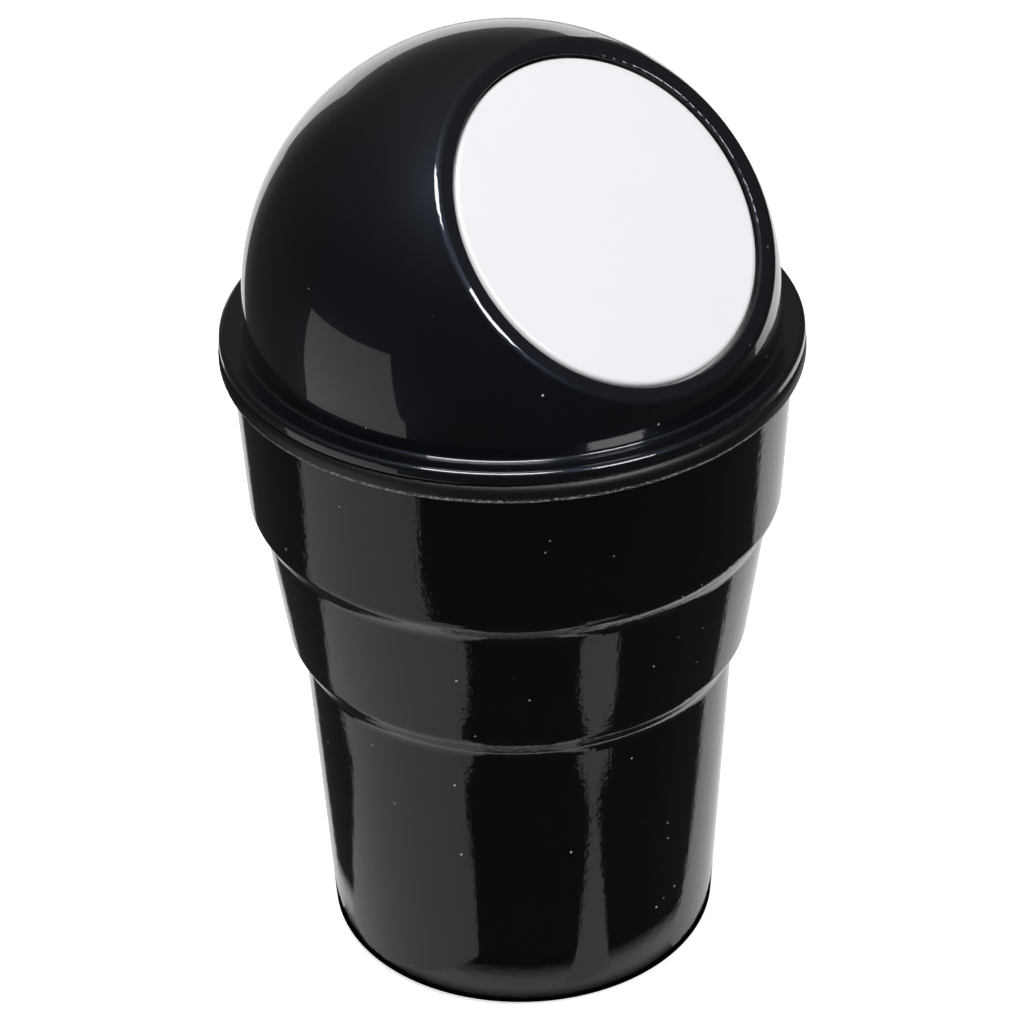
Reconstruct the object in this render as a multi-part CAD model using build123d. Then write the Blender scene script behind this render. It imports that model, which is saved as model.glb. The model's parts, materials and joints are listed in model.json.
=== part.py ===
from build123d import *
import math
import os

# A small litter bin that stands in a car's cup holder: a stepped cup, a domed lid pressed into its mouth,
# and a sprung round flap in the slanted opening of the dome.
# Millimetres, +Z up, origin at the centre of the foot, flap facing -Y.

# Cup: three sections, each one wider than the one below it
FOOT_RADIUS = 32.8
FOOT_ROUND = 2.0
FOOT_RING_WIDTH = 4.5
FOOT_RECESS = 1.2
FOOT_EDGE = 0.4
LOWER_HEIGHT = 55.1
LOWER_FLARE = 3.3
LOWER_LEDGE = 2.4
MIDDLE_HEIGHT = 26.4
MIDDLE_FLARE = 3.3
UPPER_LEDGE = 2.1
UPPER_HEIGHT = 28.5
UPPER_FLARE = 1.5
LEDGE_LEAN = 33.0
LEDGE_ROUND = 3.0
LEDGE_CORNER = 4.5
CUP_WALL = 1.6
FLOOR_THICKNESS = 2.0
FLOOR_CORNER = 2.0
RIM_OVERHANG = 2.0
RIM_HEIGHT = 3.7
RIM_ROUND = 1.5
RIM_EDGE = 0.5

# Lid: flange on the rim, skirt in the mouth, dome above
SKIRT_DEPTH = 8.0
SKIRT_CLEARANCE = 0.3
SKIRT_WALL = 1.6
SKIRT_LEAD = 0.6
FLANGE_SETBACK = 0.2
FLANGE_WIDTH = 4.0
FLANGE_HEIGHT = 1.8
FLANGE_RISE = 0.3
FLANGE_ROUND = 0.9
GROOVE_WIDTH = 1.9
GROOVE_DEPTH = 0.6
LIP_EDGE = 0.3
ROOT_HEIGHT = 5.6
ROOT_FILLET = 0.6
DOME_WALL = 1.8

# Slanted opening in the dome
OPENING_TILT = 43.5
RING_FOOT_HEIGHT = 4.95
RING_WIDTH = 2.7
RING_THICKNESS = 2.0
RING_ROUND = 1.3
OPENING_EDGE = 0.3

# Flap: a shallow dish with a stop flange behind the ring
FLAP_GAP = 0.4
FLAP_RECESS = 0.25
FLAP_PLATE = 1.6
FLAP_WALL = 1.6
FLAP_ROUND = 0.9
STOP_THICKNESS = 1.2
STOP_CLEARANCE = 0.1
STOP_EDGE = 0.3
STOP_TRIM = 7.0

# Hinge: pin through two ears of the lid and two knuckles of the flap
HINGE_INSET = 2.7
HINGE_ROOM = 1.7
PIN_RADIUS = 1.2
PIN_PROUD = 0.6
PIN_CHAMFER = 0.3
PIN_SEAT_CLEARANCE = 0.02
PIN_RUNNING_CLEARANCE = 0.06
KNUCKLE_WIDTH = 3.0
KNUCKLE_WALL = 1.3
KNUCKLE_FOOT = 9.0
EAR_WIDTH = 2.4
EAR_WALL = 1.3
EAR_GAP = 0.7
EAR_ROOM = 0.15

# Torsion spring on the pin, between the knuckles
WIRE_RADIUS = 0.35
COIL_CLEARANCE = 0.3
COIL_PITCH = 0.9
COIL_TURNS = 7
LEG_LENGTH = 13.0
LEG_CLEARANCE = 0.2

# Part of a straight run that the roundings at its two ends may take up
STRAIGHT_SHARE = 0.98

# Heights and radii that follow from the sizes above
lower_top_radius = FOOT_RADIUS + LOWER_FLARE
middle_foot_radius = lower_top_radius + LOWER_LEDGE
middle_top_radius = middle_foot_radius + MIDDLE_FLARE
upper_foot_radius = middle_top_radius + UPPER_LEDGE
upper_top_radius = upper_foot_radius + UPPER_FLARE
rim_radius = upper_top_radius + RIM_OVERHANG
mouth_radius = upper_top_radius - CUP_WALL
ledge_lean = math.radians(LEDGE_LEAN)
lower_ledge_z = LOWER_HEIGHT
middle_foot_z = lower_ledge_z + LOWER_LEDGE / math.tan(ledge_lean)
upper_ledge_z = lower_ledge_z + MIDDLE_HEIGHT
upper_foot_z = upper_ledge_z + UPPER_LEDGE / math.tan(ledge_lean)
rim_bottom_z = upper_ledge_z + UPPER_HEIGHT
rim_top_z = rim_bottom_z + RIM_HEIGHT

flange_radius = rim_radius - FLANGE_SETBACK
flange_top_z = rim_top_z + FLANGE_HEIGHT
dome_radius = flange_radius - FLANGE_WIDTH
dome_inner_radius = dome_radius - DOME_WALL
dome_centre_z = flange_top_z + ROOT_HEIGHT
skirt_bottom_z = rim_top_z - SKIRT_DEPTH
skirt_radius = mouth_radius - SKIRT_CLEARANCE
skirt_taper = UPPER_FLARE / UPPER_HEIGHT * (SKIRT_DEPTH - RIM_HEIGHT)
skirt_foot_radius = skirt_radius - skirt_taper

# The flat of the ring cuts the front of the dome a little above the flange
tilt = math.radians(OPENING_TILT)
ring_foot_z = flange_top_z + RING_FOOT_HEIGHT
ring_distance = dome_radius * math.cos(tilt) + (ring_foot_z - dome_centre_z) * math.sin(tilt)
ring_radius = math.sqrt(dome_radius**2 - ring_distance**2)
ring_back_radius = math.sqrt(dome_inner_radius**2 - (ring_distance - RING_THICKNESS) ** 2)
opening_radius = ring_radius - RING_WIDTH

# Flap and hinge in the opening's own frame: x across, y up the slope, z straight out of the dome
flap_radius = opening_radius - FLAP_GAP
plate_back_z = -FLAP_RECESS - FLAP_PLATE
stop_radius = (opening_radius + ring_back_radius) / 2
stop_z = -RING_THICKNESS - STOP_CLEARANCE
stop_back_z = stop_z - STOP_THICKNESS
ear_radius = PIN_RADIUS + EAR_WALL
knuckle_radius = PIN_RADIUS + KNUCKLE_WALL
hinge_y = opening_radius - HINGE_INSET
hinge_z = stop_back_z - HINGE_ROOM - ear_radius
hinge_reach = Vector(hinge_y, hinge_z + ring_distance)
ear_start = math.sqrt(flap_radius**2 - hinge_y**2) + EAR_ROOM
ear_end = ear_start + EAR_WIDTH
knuckle_end = ear_start - EAR_GAP
knuckle_start = knuckle_end - KNUCKLE_WIDTH

outward = Vector(0, -math.cos(tilt), math.sin(tilt))
dome_centre = Vector(0, 0, dome_centre_z)
ball_plane = Plane(origin=dome_centre, x_dir=(1, 0, 0), z_dir=outward)
ring_plane = ball_plane.offset(ring_distance)
ring_back_plane = ball_plane.offset(ring_distance - RING_THICKNESS)
equator_plane = Plane.XY.offset(dome_centre_z)


def fitted_roundings(points, roundings):
    """Corner roundings, made smaller where a straight run is too short for the two at its ends."""
    corners = [Vector(*point) for point in points]
    following = corners[1:] + corners[:1]
    runs = [end - start for start, end in zip(corners, following)]
    turns = [math.radians(runs[i - 1].get_angle(runs[i])) for i in range(len(runs))]
    tangents = [rounding * math.tan(turn / 2) for rounding, turn in zip(roundings, turns)]
    room = []
    for i, run in enumerate(runs):
        taken = tangents[i] + tangents[(i + 1) % len(runs)]
        room.append(min(1, STRAIGHT_SHARE * run.length / taken) if taken else 1)
    return [rounding * min(room[i - 1], room[i]) for i, rounding in enumerate(roundings)]


def turned(corners):
    """Solid turned about Z from corners of (radius, height, rounding)."""
    points = [(radius, height) for radius, height, rounding in corners]
    roundings = [rounding for radius, height, rounding in corners]
    outline = FilletPolyline(*points, radius=fitted_roundings(points, roundings), close=True)
    return revolve(Plane.XZ * make_face(outline), Axis.Z)


def across(section, start, end):
    """Solid of a section in the opening's y-z plane, from one x to another."""
    side_plane = Plane(origin=(start, 0, 0), x_dir=(0, 1, 0), z_dir=(1, 0, 0))
    return extrude(side_plane * section, end - start)


def hinge_circle(radius):
    """Circle about the pin's axis in the opening's y-z plane."""
    return Pos(hinge_y, hinge_z) * Circle(radius)


def both_sides(solid):
    """The solid and its mirror image on the other side of the bin's middle plane."""
    return [solid, mirror(solid, Plane.YZ)]


def make_bin_body():
    """Moulded cup: the outside from foot to rim, then the inside back down to the floor."""
    foot_ring_inner = FOOT_RADIUS - FOOT_RING_WIDTH
    floor_z = FOOT_RECESS + FLOOR_THICKNESS
    floor_radius = FOOT_RADIUS + LOWER_FLARE * floor_z / LOWER_HEIGHT - CUP_WALL
    inside_lift = CUP_WALL * math.tan(ledge_lean / 2)
    return turned([
        (0, FOOT_RECESS, 0),
        (foot_ring_inner, FOOT_RECESS, FOOT_EDGE),
        (foot_ring_inner, 0, FOOT_EDGE),
        (FOOT_RADIUS, 0, FOOT_ROUND),
        (lower_top_radius, lower_ledge_z, LEDGE_CORNER),
        (middle_foot_radius, middle_foot_z, LEDGE_ROUND),
        (middle_top_radius, upper_ledge_z, LEDGE_CORNER),
        (upper_foot_radius, upper_foot_z, LEDGE_ROUND),
        (upper_top_radius, rim_bottom_z, RIM_EDGE),
        (rim_radius, rim_bottom_z, RIM_ROUND),
        (rim_radius, rim_top_z, RIM_ROUND),
        (mouth_radius, rim_top_z, RIM_EDGE),
        (mouth_radius, rim_bottom_z, 0),
        (upper_foot_radius - CUP_WALL, upper_foot_z + inside_lift, LEDGE_CORNER),
        (middle_top_radius - CUP_WALL, upper_ledge_z + inside_lift, LEDGE_ROUND),
        (middle_foot_radius - CUP_WALL, middle_foot_z + inside_lift, LEDGE_CORNER),
        (lower_top_radius - CUP_WALL, lower_ledge_z + inside_lift, LEDGE_ROUND),
        (floor_radius, floor_z, FLOOR_CORNER),
        (0, floor_z, 0),
    ])


def make_dome_lid():
    """Moulded lid: a ball cut flat for the opening, on a flange and skirt, hollowed, with hinge ears."""
    lip_inner = skirt_radius + GROOVE_WIDTH
    groove_top_z = rim_top_z + GROOVE_DEPTH
    outside = turned([
        (0, skirt_bottom_z, 0),
        (skirt_foot_radius, skirt_bottom_z, SKIRT_LEAD),
        (skirt_radius, rim_bottom_z, 0),
        (skirt_radius, groove_top_z, LIP_EDGE),
        (lip_inner, groove_top_z, LIP_EDGE),
        (lip_inner, rim_top_z, LIP_EDGE),
        (flange_radius, rim_top_z, LIP_EDGE),
        (flange_radius, flange_top_z + FLANGE_RISE, FLANGE_ROUND),
        (dome_radius, flange_top_z, ROOT_FILLET),
        (dome_radius, dome_centre_z, 0),
        (0, dome_centre_z, 0),
    ])
    outside += split(ball_plane * Sphere(dome_radius), equator_plane, keep=Keep.TOP)
    outside = split(outside, ring_plane, keep=Keep.BOTTOM)
    ring_face = outside.faces().filter_by(ring_plane).sort_by(Axis(dome_centre, outward))[-1]
    outside = fillet(ring_face.edges(), RING_ROUND)

    hollow = turned([
        (0, skirt_bottom_z, 0),
        (skirt_foot_radius - SKIRT_WALL, skirt_bottom_z, 0),
        (skirt_radius - SKIRT_WALL, rim_top_z, 0),
        (dome_inner_radius, flange_top_z, 0),
        (dome_inner_radius, dome_centre_z, 0),
        (0, dome_centre_z, 0),
    ])
    hollow += split(ball_plane * Sphere(dome_inner_radius), equator_plane, keep=Keep.TOP)
    hollow = split(hollow, ring_back_plane, keep=Keep.BOTTOM)

    ear_side = hinge_reach.normalized().rotate(Axis.Z, 90) * ear_radius
    ear_root = hinge_reach.normalized() * dome_radius - Vector(0, ring_distance)
    ear_root_line = Edge.make_line(ear_root - ear_side, ear_root + ear_side)
    ear_section = make_hull(hinge_circle(ear_radius).edges() + [ear_root_line])
    ear_section -= hinge_circle(PIN_RADIUS + PIN_SEAT_CLEARANCE)
    ears = [ring_plane * ear & outside for ear in both_sides(across(ear_section, ear_start, ear_end))]

    opening = ring_plane * Cylinder(opening_radius, 2 * (RING_THICKNESS + RING_ROUND))
    lid = outside - hollow - opening + ears
    rim_circles = lid.edges().filter_by(GeomType.CIRCLE).filter_by(ring_plane)
    opening_edge = rim_circles.filter_by(lambda edge: abs(edge.radius - opening_radius) < OPENING_EDGE)
    return fillet(opening_edge.sort_by(Axis(dome_centre, outward))[-1], OPENING_EDGE)


def make_push_flap():
    """Moulded flap: a shallow dish, its stop flange cut away near the hinge, and two knuckles."""
    inner_radius = flap_radius - FLAP_WALL
    flap = turned([
        (0, -FLAP_RECESS, 0),
        (flap_radius, -FLAP_RECESS, FLAP_ROUND),
        (flap_radius, stop_z, 0),
        (stop_radius, stop_z, STOP_EDGE),
        (stop_radius, stop_back_z, STOP_EDGE),
        (inner_radius, stop_back_z, STOP_EDGE),
        (inner_radius, plate_back_z, STOP_EDGE),
        (0, plate_back_z, 0),
    ])
    above_hinge = Pos(0, hinge_y - STOP_TRIM, 0) * Box(
        2 * stop_radius, stop_radius, 2 * ring_radius, align=(Align.CENTER, Align.MIN, Align.CENTER)
    )
    flap -= above_hinge - Cylinder(flap_radius, 2 * ring_radius)

    root_z = (plate_back_z - FLAP_RECESS) / 2
    root_line = Edge.make_line((hinge_y - KNUCKLE_FOOT, root_z), (hinge_y, root_z))
    section = make_hull(hinge_circle(knuckle_radius).edges() + [root_line])
    section -= hinge_circle(PIN_RADIUS + PIN_RUNNING_CLEARANCE)
    return ring_plane * (flap + both_sides(across(section, knuckle_start, knuckle_end)))


def make_hinge_pin():
    """Straight steel pin, a little longer than the ears are apart."""
    half_length = ear_end + PIN_PROUD
    pin = across(hinge_circle(PIN_RADIUS), -half_length, half_length)
    return ring_plane * chamfer(pin.edges().filter_by(GeomType.CIRCLE), PIN_CHAMFER)


def make_return_spring():
    """Torsion spring: a leg up against the dome behind the hinge, the coil, a leg down the flap's back."""
    coil_radius = PIN_RADIUS + COIL_CLEARANCE + WIRE_RADIUS
    leg_reach = math.hypot(coil_radius, LEG_LENGTH)
    tangent_turn = math.degrees(math.acos(coil_radius / leg_reach))
    leg_room = WIRE_RADIUS + LEG_CLEARANCE

    # Leg ends, as angles about the pin from the slope's upward direction
    hinge_height = hinge_reach.length
    dome_reach = dome_inner_radius - leg_room
    dome_cosine = (dome_reach**2 - hinge_height**2 - leg_reach**2) / (2 * hinge_height * leg_reach)
    hinge_angle = math.degrees(math.atan2(hinge_reach.Y, hinge_reach.X))
    dome_leg_angle = hinge_angle - math.degrees(math.acos(dome_cosine))
    flap_leg_rise = plate_back_z - leg_room - hinge_z
    flap_leg_angle = 180 - math.degrees(math.asin(flap_leg_rise / leg_reach))

    start_angle = dome_leg_angle + tangent_turn
    end_angle = flap_leg_angle - tangent_turn
    turns = COIL_TURNS + (end_angle - start_angle) / 360
    coil_length = turns * COIL_PITCH
    start_direction = Vector(0, 1, 0).rotate(Axis.X, start_angle)
    coil_plane = Plane((-coil_length / 2, hinge_y, hinge_z), x_dir=start_direction, z_dir=(1, 0, 0))
    coil = coil_plane * Helix(COIL_PITCH, coil_length, coil_radius)
    dome_leg = Line(coil @ 0 - coil % 0 * LEG_LENGTH, coil @ 0)
    flap_leg = Line(coil @ 1, coil @ 1 + coil % 1 * LEG_LENGTH)
    wire = Plane(dome_leg @ 0, z_dir=dome_leg % 0) * Circle(WIRE_RADIUS)
    return ring_plane * sweep(wire, Wire([dome_leg.edge(), coil.edge(), flap_leg.edge()]))


os.makedirs("parts", exist_ok=True)
pieces = {
    "bin_body": make_bin_body(),
    "dome_lid": make_dome_lid(),
    "push_flap": make_push_flap(),
    "hinge_pin": make_hinge_pin(),
    "return_spring": make_return_spring(),
}
for name, piece in pieces.items():
    export_step(piece, f"parts/{name}.step")
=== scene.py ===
import json
import math

import bpy
from mathutils import Matrix, Vector


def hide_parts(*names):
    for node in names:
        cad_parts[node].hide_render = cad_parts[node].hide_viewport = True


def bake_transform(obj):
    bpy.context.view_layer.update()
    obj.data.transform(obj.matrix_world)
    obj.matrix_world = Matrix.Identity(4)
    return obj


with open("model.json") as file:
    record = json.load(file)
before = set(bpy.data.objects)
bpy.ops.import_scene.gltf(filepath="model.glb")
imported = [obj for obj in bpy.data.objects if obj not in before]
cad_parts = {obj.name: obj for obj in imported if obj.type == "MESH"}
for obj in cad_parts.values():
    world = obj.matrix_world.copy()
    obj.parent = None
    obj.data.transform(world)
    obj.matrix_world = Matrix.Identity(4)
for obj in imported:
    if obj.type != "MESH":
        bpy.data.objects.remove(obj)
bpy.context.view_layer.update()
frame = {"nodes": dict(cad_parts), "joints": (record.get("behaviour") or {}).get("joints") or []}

scene = bpy.context.scene
scene.view_settings.view_transform = "Standard"

# Camera: a long lens a little above the bin, with the flap turned to the camera's right.
# It stands where the photograph was taken from, 0.67 m away, and leans by about a degree.
MM = 0.001
CAMERA_AZIMUTH = math.radians(-43.6)
CAMERA_ELEVATION = math.radians(32.78)
CAMERA_ROLL = math.radians(-1.245)
CAMERA_DISTANCE = 673.5 * MM
CAMERA_LENS = 142.83
AIM_HEIGHT = 78.6 * MM
AIM_ASIDE = -0.65 * MM

upward = Vector((0, 0, 1))
to_right = Vector((math.cos(CAMERA_AZIMUTH), math.sin(CAMERA_AZIMUTH), 0))
to_front = Vector((math.sin(CAMERA_AZIMUTH), -math.cos(CAMERA_AZIMUTH), 0))
to_camera = to_front * math.cos(CAMERA_ELEVATION) + upward * math.sin(CAMERA_ELEVATION)
level_view = Matrix((to_right, to_camera.cross(to_right), to_camera)).transposed()
aim = to_right * AIM_ASIDE + upward * AIM_HEIGHT
camera_data = bpy.data.cameras.new("camera")
camera_data.lens = CAMERA_LENS
camera = bpy.data.objects.new("camera", camera_data)
camera.matrix_world = Matrix.Translation(aim + to_camera * CAMERA_DISTANCE) @ (
    level_view @ Matrix.Rotation(CAMERA_ROLL, 3, "Z")
).to_4x4()
scene.collection.objects.link(camera)
scene.camera = camera


# Room: a dark studio with a paler ceiling, which the gloss of the lid shows as a faint sheen.
# Matt surfaces take an even soft light from all round, and the camera sees plain white.
ROOM_SHEEN = [(0.0, 0.05), (0.5, 0.05), (0.63, 0.06), (0.75, 0.09), (0.85, 0.14), (1.0, 0.26)]
ROOM_LIGHT = 0.32


def linear(hex_colour):
    """sRGB hex colour as linear red, green, blue and alpha."""
    parts = [int(hex_colour[i:i + 2], 16) / 255 for i in (1, 3, 5)]
    return [c / 12.92 if c <= 0.04045 else ((c + 0.055) / 1.055) ** 2.4 for c in parts] + [1]


def node(tree, kind, links=(), **settings):
    """Adds a node: settings are its own properties or input values, links are pairs of input and source."""
    made = tree.nodes.new("ShaderNode" + kind)
    for name, value in settings.items():
        if hasattr(made, name):
            setattr(made, name, value)
        else:
            made.inputs[name.replace("_", " ")].default_value = value
    for socket, source in links:
        tree.links.new(source, made.inputs[socket])
    return made


world = bpy.data.worlds.new("studio_room")
world.use_nodes = True
scene.world = world
room = world.node_tree
room.nodes.clear()
direction = node(room, "TexCoord")
height = node(room, "SeparateXYZ", [("Vector", direction.outputs["Generated"])])
height_share = node(room, "MapRange", [("Value", height.outputs["Z"])], From_Min=-1.0, From_Max=1.0)
sheen = node(room, "ValToRGB", [("Fac", height_share.outputs["Result"])])
while len(sheen.color_ramp.elements) < len(ROOM_SHEEN):
    sheen.color_ramp.elements.new(0.5)
for stop, (place, level) in zip(sheen.color_ramp.elements, ROOM_SHEEN):
    stop.position = place
    stop.color = (level, level, level, 1)
rays = node(room, "LightPath")
reflected = node(room, "Background", [("Color", sheen.outputs["Color"])])
soft = node(room, "Background", Color=linear("#FFFFFF"), Strength=ROOM_LIGHT)
white = node(room, "Background", Color=linear("#FFFFFF"), Strength=1.0)
matt_or_gloss = node(room, "MixShader", [
    ("Fac", rays.outputs["Is Glossy Ray"]), (1, soft.outputs[0]), (2, reflected.outputs[0])])
seen = node(room, "MixShader", [
    ("Fac", rays.outputs["Is Camera Ray"]), (1, matt_or_gloss.outputs[0]), (2, white.outputs[0])])
node(room, "OutputWorld", [("Surface", seen.outputs[0])])


# Floor: a plain white sweep of matt card that takes the bin's soft shadow.
# The gloss plastic doesn't show it, but the white cards that lie on it round the bin.
FLOOR_SIZE = 6.0
FLOOR_COLOUR = "#F2F2F2"
FLOOR_GLOW = 0.72


def flat_piece(name, corners):
    """Flat polygon through corners in metres."""
    mesh = bpy.data.meshes.new(name)
    mesh.from_pydata(corners, [], [list(range(len(corners)))])
    made = bpy.data.objects.new(name, mesh)
    scene.collection.objects.link(made)
    return made


def new_material(name):
    """Node material with nothing in it."""
    made = bpy.data.materials.new(name)
    made.use_nodes = True
    made.node_tree.nodes.clear()
    return made


half = FLOOR_SIZE / 2
floor = flat_piece("floor", [(-half, -half, 0), (half, -half, 0), (half, half, 0), (-half, half, 0)])
matt_card = new_material("matt_white_card")
tree = matt_card.node_tree
path = node(tree, "LightPath")
paper = node(tree, "BsdfDiffuse", Color=linear(FLOOR_COLOUR))
glow = node(tree, "Emission", Color=linear("#FFFFFF"), Strength=FLOOR_GLOW)
lit_paper = node(tree, "AddShader", [(0, paper.outputs[0]), (1, glow.outputs[0])])
seen_paper = node(tree, "MixShader", [
    ("Fac", path.outputs["Is Camera Ray"]), (1, paper.outputs[0]), (2, lit_paper.outputs[0])])
node(tree, "OutputMaterial", [("Surface", seen_paper.outputs[0])])
floor.data.materials.append(matt_card)
floor.visible_glossy = False


# White cards: reflectors that lie on the table round the bin, and one that stands behind it.
# Only gloss shows them: grey bands down the cup, a patch on the dome and the light line on its outline.
# A black disc in the gap under the foot is painted shade: only gloss shows it, and it darkens the foot's lowest edge.
# Corners are millimetres to the camera's right and towards the camera.
CARD_LIFT = 0.2
CARDS = {
    "left_card": (0.68, [(-35, 10), (-49, 4), (-77, 2), (-88, -9), (-103, -8), (-148, -1), (-1450, 12), (-1103, 942),
                         (-204, 200), (-103, 140), (-98, 128), (-87, 121), (-60, 112), (-40, 103), (-34, 88),
                         (-37, 77), (-25, 62), (-13, 42)]),
    "back_card": (0.92, [(-35, 6), (-395, -697), (668, -428), (31, 21)]),
    "narrow_card": (0.75, [(8, 36), (15, 42), (23, 51), (38, 65), (41, 74), (39, 84), (49, 100), (75, 83), (64, 72),
                           (57, 68), (48, 68), (42, 62), (30, 45), (19, 33)]),
}
WALL_LEVEL = 1.1
WALL_HEIGHT = 225
WALL_ENDS = [(-330, -640), (120, -700)]
FOOT_CARD_LEVEL = 0.95
FOOT_CARD_RADIUS = 43
# Foot card radii in millimetres: dark out to the first, which is painted shade round the foot, full from the second
# to the third, dimmed beyond.
FOOT_CARD_SHADE_AND_FADE = (34.2, 37.2, 38.0)
FOOT_CARD_SIDES = 96
# Radius and height of the black disc of painted shade under the foot.
FOOT_SHADE_RADIUS = 34.6
FOOT_SHADE_LIFT = 0.3


def set_point(right, front, up):
    """Point of the studio from millimetres to the camera's right, towards the camera and up."""
    return (to_right * right + to_front * front + upward * up) * MM


def reflector(name, corners, level, fade=None):
    """Glowing card that only mirror-like surfaces show. Fade holds radii in metres: dark up to the first, full
    from the second to the third, and dimmed from there to the card's edge."""
    made = flat_piece(name, corners)
    glowing = new_material(name + "_glow")
    tree = glowing.node_tree
    light = node(tree, "Emission", Color=linear("#FFFFFF"), Strength=level)
    if fade:
        place = node(tree, "TexCoord")
        radius = node(tree, "VectorMath", [(0, place.outputs["Object"])], operation="LENGTH")
        rise = node(tree, "MapRange", [("Value", radius.outputs["Value"])], interpolation_type="SMOOTHSTEP",
                    From_Min=fade[0], From_Max=fade[1])
        fall = node(tree, "MapRange", [("Value", radius.outputs["Value"])], interpolation_type="SMOOTHSTEP",
                    From_Min=fade[2], From_Max=corners[0].length, To_Min=level, To_Max=0.0)
        glow = node(tree, "Math", [(0, rise.outputs["Result"]), (1, fall.outputs["Result"])], operation="MULTIPLY")
        tree.links.new(glow.outputs[0], light.inputs["Strength"])
    node(tree, "OutputMaterial", [("Surface", light.outputs[0])])
    made.data.materials.append(glowing)
    made.visible_camera = False
    made.visible_diffuse = False
    made.visible_transmission = False
    made.visible_shadow = False


for name, (level, corners) in CARDS.items():
    reflector(name, [set_point(right, front, CARD_LIFT) for right, front in corners], level)
wall_foot = [set_point(right, front, 0) for right, front in WALL_ENDS]
wall_top = [set_point(right, front, WALL_HEIGHT) for right, front in reversed(WALL_ENDS)]
reflector("wall_card", wall_foot + wall_top, WALL_LEVEL)
foot_turns = [math.tau * i / FOOT_CARD_SIDES for i in range(FOOT_CARD_SIDES)]
foot_edge = [set_point(FOOT_CARD_RADIUS * math.cos(a), FOOT_CARD_RADIUS * math.sin(a), 0) for a in foot_turns]
# The foot card goes dark towards the foot: painted shade round the base, seen only in the gloss.
reflector("foot_card", foot_edge, FOOT_CARD_LEVEL, fade=[r * MM for r in FOOT_CARD_SHADE_AND_FADE])
# Black disc just above the floor under the foot: painted shade, seen only in the gloss.
foot_shade_edge = [set_point(FOOT_SHADE_RADIUS * math.cos(a), FOOT_SHADE_RADIUS * math.sin(a), FOOT_SHADE_LIFT)
            for a in foot_turns]
reflector("painted_foot_shade", foot_shade_edge, 0.0)


# Lamps: a soft box above the camera and a narrow one on the flap's side.
# They light the flap, and the images of their white faces are the bright lines on the ring and the flange.
LAMP_FACE_LEVEL = 26
LAMPS = {
    "soft_box": {"place": (-110, 290, 1071), "size": (0.56, 0.25), "power": 5.65},
    "strip_box": {"place": (525, 525, 790), "size": (0.35, 0.20), "power": 2.85},
}
for name, facts in LAMPS.items():
    lamp_data = bpy.data.lights.new(name, "AREA")
    lamp_data.shape = "RECTANGLE"
    lamp_data.size, lamp_data.size_y = facts["size"]
    lamp_data.energy = facts["power"]
    lamp = bpy.data.objects.new(name, lamp_data)
    lamp.location = set_point(*facts["place"])
    lamp.rotation_mode = "QUATERNION"
    lamp.rotation_quaternion = (aim - lamp.location).to_track_quat("-Z", "Y")
    lamp.visible_glossy = False
    scene.collection.objects.link(lamp)
    width, depth = facts["size"]
    face = [Vector((x * width / 2, y * depth / 2, 0)) for x, y in ((-1, -1), (1, -1), (1, 1), (-1, 1))]
    corners = [lamp.location + lamp.rotation_quaternion @ corner for corner in face]
    reflector(name + "_face", corners, LAMP_FACE_LEVEL)


# Cup: one moulding of black polypropylene in three steps, with a rolled rim that the lid sits on.
# Gloss walls with upright draw marks and a faint orange peel, a satin rim with a scuffed lower edge, and dust.
CUP_BLACK = "#040404"
CUP_SOOT = "#080707"
CUP_IOR = 1.49
CUP_ROUGHNESS = 0.075
RIM_ROUGHNESS = 0.46
RIM_START_RADIUS = 45.7
RIM_BLEND = 0.2
SCUFF_HEIGHT = 110.9
SCUFF_FADE = 0.4
SCUFF_LENGTH = 0.4
SCUFF_SHARE = (0.49, 0.60)
SCUFF_COLOUR = "#B4B2AF"
CUP_CLOUD = 18
DRAW_MARK_WIDTH = 0.7
DRAW_MARK_LENGTH = 30
DRAW_MARK_DEPTH = 0.012
PEEL_SIZE = 1.3
PEEL_DEPTH = 0.03
CUP_MEAN_RADIUS = 40
DUST_COLOUR = "#B9BABB"
DUST_SPACING = 4.2
DUST_SIZE = 0.2
DUST_SHARE = 0.9


def dress(part, material):
    """Gives a piece its only material."""
    part.data.materials.clear()
    part.data.materials.append(material)


def per_mm(size):
    """Texture scale at which one cell of a pattern is this many millimetres wide."""
    return 1 / (size * MM)


def dust(tree, place, spacing, size, share):
    """Mask of specks of several sizes: many of the cells of a 3-D pattern hold one speck each."""
    cells = node(tree, "TexVoronoi", [("Vector", place)], Scale=per_mm(spacing), Randomness=1.0)
    chance = node(tree, "SeparateColor", [("Color", cells.outputs["Color"])])
    reach = size / spacing
    growth = node(tree, "MapRange", [("Value", chance.outputs["Green"])], To_Min=0.4, To_Max=1.3)
    shrunk = node(tree, "Math", [(0, cells.outputs["Distance"]), (1, growth.outputs[0])], operation="DIVIDE")
    speck = node(tree, "MapRange", [("Value", shrunk.outputs[0])],
                 From_Min=reach * 0.6, From_Max=reach, To_Min=1.0, To_Max=0.0)
    chosen = node(tree, "Math", [(0, chance.outputs["Red"])], operation="LESS_THAN")
    chosen.inputs[1].default_value = share
    return node(tree, "Math", [(0, speck.outputs["Result"]), (1, chosen.outputs[0])],
                operation="MULTIPLY").outputs[0]


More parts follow.
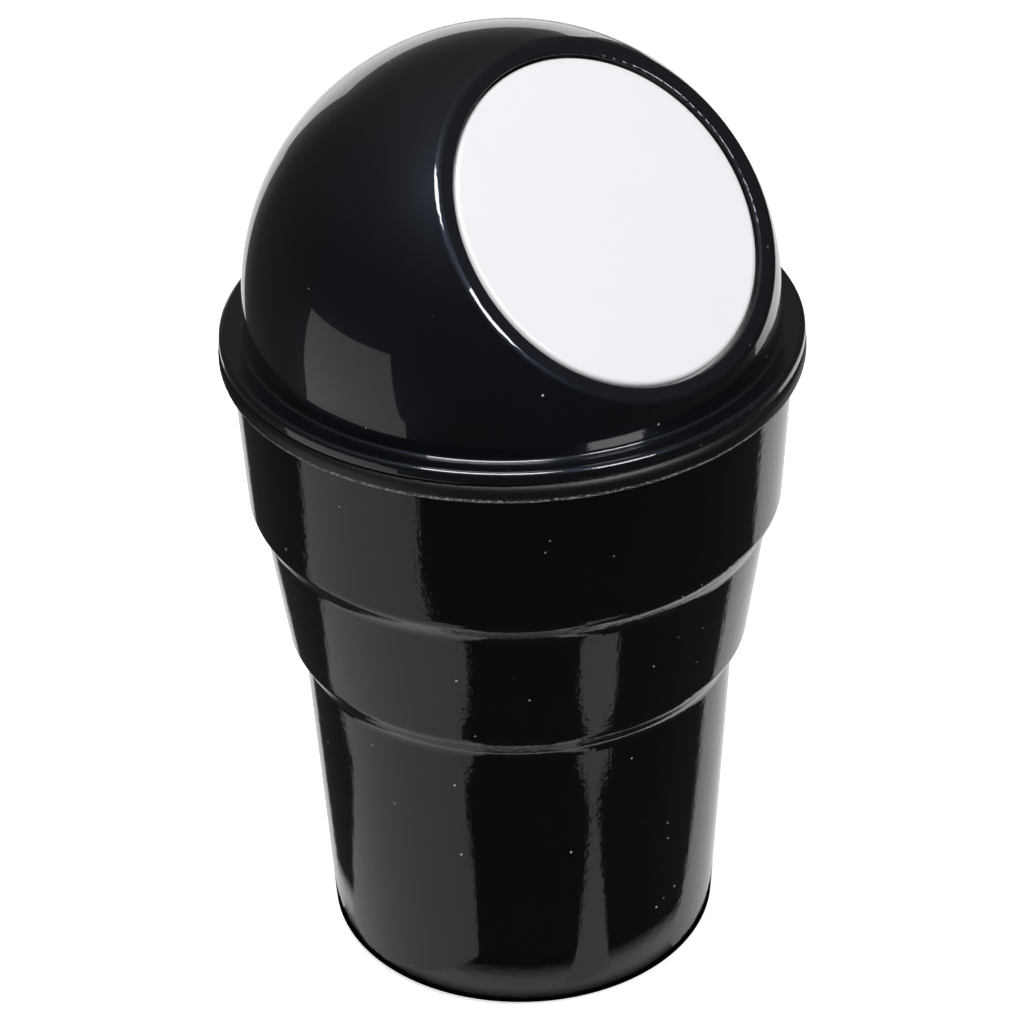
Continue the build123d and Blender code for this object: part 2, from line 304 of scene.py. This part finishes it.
cup_plastic = new_material("gloss_black_polypropylene")
tree = cup_plastic.node_tree
place = node(tree, "TexCoord").outputs["Object"]
axes = node(tree, "SeparateXYZ", [("Vector", place)])
turn = node(tree, "Math", [(0, axes.outputs["Y"]), (1, axes.outputs["X"])], operation="ARCTAN2")
around = node(tree, "Math", [(0, turn.outputs[0])], operation="MULTIPLY")
around.inputs[1].default_value = CUP_MEAN_RADIUS * MM
along = node(tree, "Math", [(0, axes.outputs["Z"])], operation="MULTIPLY")
along.inputs[1].default_value = DRAW_MARK_WIDTH / DRAW_MARK_LENGTH
unrolled = node(tree, "CombineXYZ", [("X", around.outputs[0]), ("Z", along.outputs[0])])
draw_marks = node(tree, "TexNoise", [("Vector", unrolled.outputs[0])],
                  Scale=per_mm(DRAW_MARK_WIDTH), Detail=2.0, Roughness=0.6)
draw_bump = node(tree, "Bump", [("Height", draw_marks.outputs["Fac"])],
                 Strength=1.0, Distance=DRAW_MARK_DEPTH * MM)
peel = node(tree, "TexNoise", [("Vector", place)], Scale=per_mm(PEEL_SIZE), Detail=2.0, Roughness=0.6)
cup_bump = node(tree, "Bump", [("Height", peel.outputs["Fac"]), ("Normal", draw_bump.outputs[0])],
                Strength=1.0, Distance=PEEL_DEPTH * MM)
flat_place = node(tree, "CombineXYZ", [("X", axes.outputs["X"]), ("Y", axes.outputs["Y"])])
radius = node(tree, "VectorMath", [(0, flat_place.outputs[0])], operation="LENGTH")
on_rim = node(tree, "MapRange", [("Value", radius.outputs["Value"])],
              From_Min=(RIM_START_RADIUS - RIM_BLEND) * MM, From_Max=(RIM_START_RADIUS + RIM_BLEND) * MM)
near_edge = node(tree, "MapRange", [("Value", axes.outputs["Z"])],
                 From_Min=(SCUFF_HEIGHT + SCUFF_FADE) * MM, From_Max=SCUFF_HEIGHT * MM)
scuff_noise = node(tree, "TexNoise", [("Vector", place)], Scale=per_mm(SCUFF_LENGTH), Detail=3.0, Roughness=0.7)
scuff_marks = node(tree, "MapRange", [("Value", scuff_noise.outputs["Fac"])],
                   From_Min=SCUFF_SHARE[0], From_Max=SCUFF_SHARE[1])
edge_scuff = node(tree, "Math", [(0, scuff_marks.outputs[0]), (1, near_edge.outputs[0])], operation="MULTIPLY")
scuff = node(tree, "Math", [(0, edge_scuff.outputs[0]), (1, on_rim.outputs[0])], operation="MULTIPLY")
cloud = node(tree, "TexNoise", [("Vector", place)], Scale=per_mm(CUP_CLOUD), Detail=3.0)
blacks = node(tree, "Mix", [("Factor", cloud.outputs["Fac"])], data_type="RGBA")
blacks.inputs[6].default_value = linear(CUP_BLACK)
blacks.inputs[7].default_value = linear(CUP_SOOT)
scuffed = node(tree, "Mix", [("Factor", scuff.outputs[0]), (6, blacks.outputs[2])], data_type="RGBA")
scuffed.inputs[7].default_value = linear(SCUFF_COLOUR)
specks = dust(tree, place, DUST_SPACING, DUST_SIZE, DUST_SHARE)
dusty = node(tree, "Mix", [("Factor", specks), (6, scuffed.outputs[2])], data_type="RGBA")
dusty.inputs[7].default_value = linear(DUST_COLOUR)
wall_finish = node(tree, "MapRange", [("Value", draw_marks.outputs["Fac"])],
                   To_Min=CUP_ROUGHNESS * 0.7, To_Max=CUP_ROUGHNESS * 1.4)
finish = node(tree, "Mix", [("Factor", on_rim.outputs[0]), (2, wall_finish.outputs[0])])
finish.inputs[3].default_value = RIM_ROUGHNESS
shader = node(tree, "BsdfPrincipled", [
    ("Base Color", dusty.outputs[2]), ("Roughness", finish.outputs[0]), ("Normal", cup_bump.outputs[0])],
    IOR=CUP_IOR)
node(tree, "OutputMaterial", [("Surface", shader.outputs[0])])
dress(frame["nodes"]["bin_body"], cup_plastic)


# Lid: one moulding of black ABS, a dome on a flange that presses into the cup's mouth, with a slanted opening.
# A clear gloss over a blue-black pigment: sharp mirror images, with a soft blue haze round the brightest.
LID_BLACK = "#050608"
LID_INK = "#090B0F"
LID_HAZE = "#7F93B4"
LID_HAZE_ROUGHNESS = 0.34
LID_HAZE_LEVEL = 0.30
LID_IOR = 1.54
LID_GLOSS_ROUGHNESS = 0.03
LID_WAVE = 11
LID_WAVE_DEPTH = 0.006
LID_CLOUD = 16
LID_EDGE_ROUND = 0.25
FLANGE_TOP_HEIGHT = 115.65
FLANGE_TOP_REACH = (0.4, 0.3)
FLANGE_INNER_RADIUS = 43.8
FLANGE_BLEND = 0.1
FLANGE_GRAIN = 0.5
FLANGE_GRAIN_DEPTH = 0.012

lid_plastic = new_material("gloss_black_abs")
tree = lid_plastic.node_tree
place = node(tree, "TexCoord").outputs["Object"]
waves = node(tree, "TexNoise", [("Vector", place)], Scale=per_mm(LID_WAVE), Detail=1.0)
soft_edges = node(tree, "Bevel", samples=6, Radius=LID_EDGE_ROUND * MM)
wave_bump = node(tree, "Bump", [("Height", waves.outputs["Fac"]), ("Normal", soft_edges.outputs[0])],
                 Strength=1.0, Distance=LID_WAVE_DEPTH * MM)
axes = node(tree, "SeparateXYZ", [("Vector", place)])
off_flange = node(tree, "Math", [(0, axes.outputs["Z"])], operation="SUBTRACT")
off_flange.inputs[1].default_value = FLANGE_TOP_HEIGHT * MM
off_flange_size = node(tree, "Math", [(0, off_flange.outputs[0])], operation="ABSOLUTE")
at_flange_height = node(tree, "MapRange", [("Value", off_flange_size.outputs[0])],
                        From_Min=FLANGE_TOP_REACH[0] * MM, From_Max=FLANGE_TOP_REACH[1] * MM)
flat_place = node(tree, "CombineXYZ", [("X", axes.outputs["X"]), ("Y", axes.outputs["Y"])])
radius = node(tree, "VectorMath", [(0, flat_place.outputs[0])], operation="LENGTH")
outside_root = node(tree, "MapRange", [("Value", radius.outputs["Value"])],
                    From_Min=(FLANGE_INNER_RADIUS - FLANGE_BLEND) * MM,
                    From_Max=(FLANGE_INNER_RADIUS + FLANGE_BLEND) * MM)
on_flange = node(tree, "Math", [(0, at_flange_height.outputs[0]), (1, outside_root.outputs[0])],
                 operation="MULTIPLY")
flange_grain = node(tree, "TexNoise", [("Vector", place)], Scale=per_mm(FLANGE_GRAIN), Detail=2.0)
lid_bump = node(tree, "Bump", [("Height", flange_grain.outputs["Fac"]), ("Strength", on_flange.outputs[0]),
                               ("Normal", wave_bump.outputs[0])], Distance=FLANGE_GRAIN_DEPTH * MM)
cloud = node(tree, "TexNoise", [("Vector", place)], Scale=per_mm(LID_CLOUD), Detail=3.0)
blacks = node(tree, "Mix", [("Factor", cloud.outputs["Fac"])], data_type="RGBA")
blacks.inputs[6].default_value = linear(LID_BLACK)
blacks.inputs[7].default_value = linear(LID_INK)
specks = dust(tree, place, DUST_SPACING, DUST_SIZE, DUST_SHARE)
dusty = node(tree, "Mix", [("Factor", specks), (6, blacks.outputs[2])], data_type="RGBA")
dusty.inputs[7].default_value = linear(DUST_COLOUR)
haze = node(tree, "MapRange", [("Value", cloud.outputs["Fac"])],
            To_Min=LID_HAZE_ROUGHNESS * 0.9, To_Max=LID_HAZE_ROUGHNESS * 1.1)
shader = node(tree, "BsdfPrincipled", [
    ("Base Color", dusty.outputs[2]), ("Roughness", haze.outputs[0]), ("Normal", lid_bump.outputs[0]),
    ("Coat Normal", lid_bump.outputs[0])],
    IOR=LID_IOR, Specular_IOR_Level=LID_HAZE_LEVEL, Specular_Tint=linear(LID_HAZE),
    Coat_Weight=1.0, Coat_Roughness=LID_GLOSS_ROUGHNESS, Coat_IOR=LID_IOR)
node(tree, "OutputMaterial", [("Surface", shader.outputs[0])])
dress(frame["nodes"]["dome_lid"], lid_plastic)


# Flap: one moulding of white ABS, a shallow dish that swings on a pin behind the top of the opening.
# A smooth low gloss with a faint cool tint and a very fine moulded grain.
FLAP_WHITE = "#EDEEF1"
FLAP_SHADE = "#E9EBEE"
FLAP_ROUGHNESS = 0.30
FLAP_CLOUD = 14
FLAP_GRAIN = 0.45
FLAP_GRAIN_DEPTH = 0.002

flap_plastic = new_material("white_abs")
tree = flap_plastic.node_tree
place = node(tree, "TexCoord").outputs["Object"]
grain = node(tree, "TexNoise", [("Vector", place)], Scale=per_mm(FLAP_GRAIN), Detail=2.0)
grain_bump = node(tree, "Bump", [("Height", grain.outputs["Fac"])], Strength=1.0, Distance=FLAP_GRAIN_DEPTH * MM)
cloud = node(tree, "TexNoise", [("Vector", place)], Scale=per_mm(FLAP_CLOUD), Detail=2.0)
whites = node(tree, "Mix", [("Factor", cloud.outputs["Fac"])], data_type="RGBA")
whites.inputs[6].default_value = linear(FLAP_WHITE)
whites.inputs[7].default_value = linear(FLAP_SHADE)
finish = node(tree, "MapRange", [("Value", cloud.outputs["Fac"])],
              To_Min=FLAP_ROUGHNESS * 0.85, To_Max=FLAP_ROUGHNESS * 1.15)
shader = node(tree, "BsdfPrincipled", [
    ("Base Color", whites.outputs[2]), ("Roughness", finish.outputs[0]), ("Normal", grain_bump.outputs[0])],
    IOR=LID_IOR)
node(tree, "OutputMaterial", [("Surface", shader.outputs[0])])
dress(frame["nodes"]["push_flap"], flap_plastic)


# Hinge pin: a length of bright drawn steel rod, pushed through the lid's ears and the flap's knuckles.
# Drawing leaves fine lines along the rod.
PIN_STEEL = "#B9BABC"
PIN_SHADE = "#8F9194"
PIN_ROUGHNESS = 0.24
PIN_LINE_WIDTH = 0.15
PIN_LINE_LENGTH = 12

drawn_steel = new_material("bright_drawn_steel")
tree = drawn_steel.node_tree
place = node(tree, "TexCoord").outputs["Object"]
stretch = node(tree, "Mapping", [("Vector", place)], Scale=(PIN_LINE_WIDTH / PIN_LINE_LENGTH, 1, 1))
lines = node(tree, "TexNoise", [("Vector", stretch.outputs[0])], Scale=per_mm(PIN_LINE_WIDTH), Detail=2.0)
steels = node(tree, "Mix", [("Factor", lines.outputs["Fac"])], data_type="RGBA")
steels.inputs[6].default_value = linear(PIN_STEEL)
steels.inputs[7].default_value = linear(PIN_SHADE)
finish = node(tree, "MapRange", [("Value", lines.outputs["Fac"])],
              To_Min=PIN_ROUGHNESS * 0.7, To_Max=PIN_ROUGHNESS * 1.4)
shader = node(tree, "BsdfPrincipled", [
    ("Base Color", steels.outputs[2]), ("Roughness", finish.outputs[0])], Metallic=1.0)
node(tree, "OutputMaterial", [("Surface", shader.outputs[0])])
dress(frame["nodes"]["hinge_pin"], drawn_steel)


# Return spring: hard drawn wire wound on the pin between the knuckles.
# One leg bears on the dome behind the hinge and the other on the flap's back, and the coil twists between them.
WIRE_RADIUS = 0.35
COIL_RADIUS = 1.85
COIL_PITCH = 0.9
COIL_TURNS = 7.05
COIL_START = math.radians(57.14)
LEG_LENGTH = 13.0
OPENING_TILT = math.radians(43.5)
STEPS_A_TURN = 40
WIRE_SIDES = 12
WIRE_STEEL = "#8E8F90"
WIRE_SHADE = "#5E5F61"
WIRE_ROUGHNESS = (0.25, 0.45)
WIRE_LINE = 0.4

hinge = Vector(next(joint["pos_m"] for joint in frame["joints"] if joint["name"] == "flap_hinge"))
up_slope = Vector((0, math.sin(OPENING_TILT), math.cos(OPENING_TILT)))
out_of_dome = Vector((0, -math.cos(OPENING_TILT), math.sin(OPENING_TILT)))
across = Vector((1, 0, 0))
coil_half = COIL_TURNS * COIL_PITCH / 2
coil_points = []
for i in range(round(COIL_TURNS * STEPS_A_TURN) + 1):
    share = i / round(COIL_TURNS * STEPS_A_TURN)
    angle = COIL_START + math.tau * COIL_TURNS * share
    ray = up_slope * math.cos(angle) + out_of_dome * math.sin(angle)
    coil_points.append(hinge + (across * (2 * share - 1) * coil_half + ray * COIL_RADIUS) * MM)


def leg_end(tip, behind):
    """End of a straight leg that carries on from the coil's last two points."""
    return tip + (tip - behind).normalized() * LEG_LENGTH * MM


wire_path = [leg_end(coil_points[0], coil_points[1])] + coil_points + [leg_end(coil_points[-1], coil_points[-2])]
wire = bpy.data.curves.new("return_spring_wire", "CURVE")
wire.dimensions = "3D"
wire.bevel_depth = WIRE_RADIUS * MM
wire.bevel_resolution = WIRE_SIDES // 4
wire.use_fill_caps = True
run = wire.splines.new("POLY")
run.points.add(len(wire_path) - 1)
for point, spot in zip(run.points, wire_path):
    point.co = (*spot, 1)
wound = bpy.data.objects.new("wound_wire", wire)
scene.collection.objects.link(wound)
bpy.context.view_layer.update()
spring_mesh = bpy.data.meshes.new_from_object(wound.evaluated_get(bpy.context.evaluated_depsgraph_get()))
bpy.data.objects.remove(wound)
spring_mesh.name = "spring_wire"
spring = bpy.data.objects.new("spring_wire", spring_mesh)
scene.collection.objects.link(spring)
for face in spring_mesh.polygons:
    face.use_smooth = True

wire_steel = new_material("hard_drawn_spring_steel")
tree = wire_steel.node_tree
place = node(tree, "TexCoord").outputs["Object"]
lines = node(tree, "TexNoise", [("Vector", place)], Scale=per_mm(WIRE_LINE), Detail=2.0)
steels = node(tree, "Mix", [("Factor", lines.outputs["Fac"])], data_type="RGBA")
steels.inputs[6].default_value = linear(WIRE_STEEL)
steels.inputs[7].default_value = linear(WIRE_SHADE)
finish = node(tree, "MapRange", [("Value", lines.outputs["Fac"])], To_Min=WIRE_ROUGHNESS[0], To_Max=WIRE_ROUGHNESS[1])
shader = node(tree, "BsdfPrincipled", [
    ("Base Color", steels.outputs[2]), ("Roughness", finish.outputs[0])], Metallic=1.0)
node(tree, "OutputMaterial", [("Surface", shader.outputs[0])])
dress(spring, wire_steel)
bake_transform(spring)
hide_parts("return_spring")
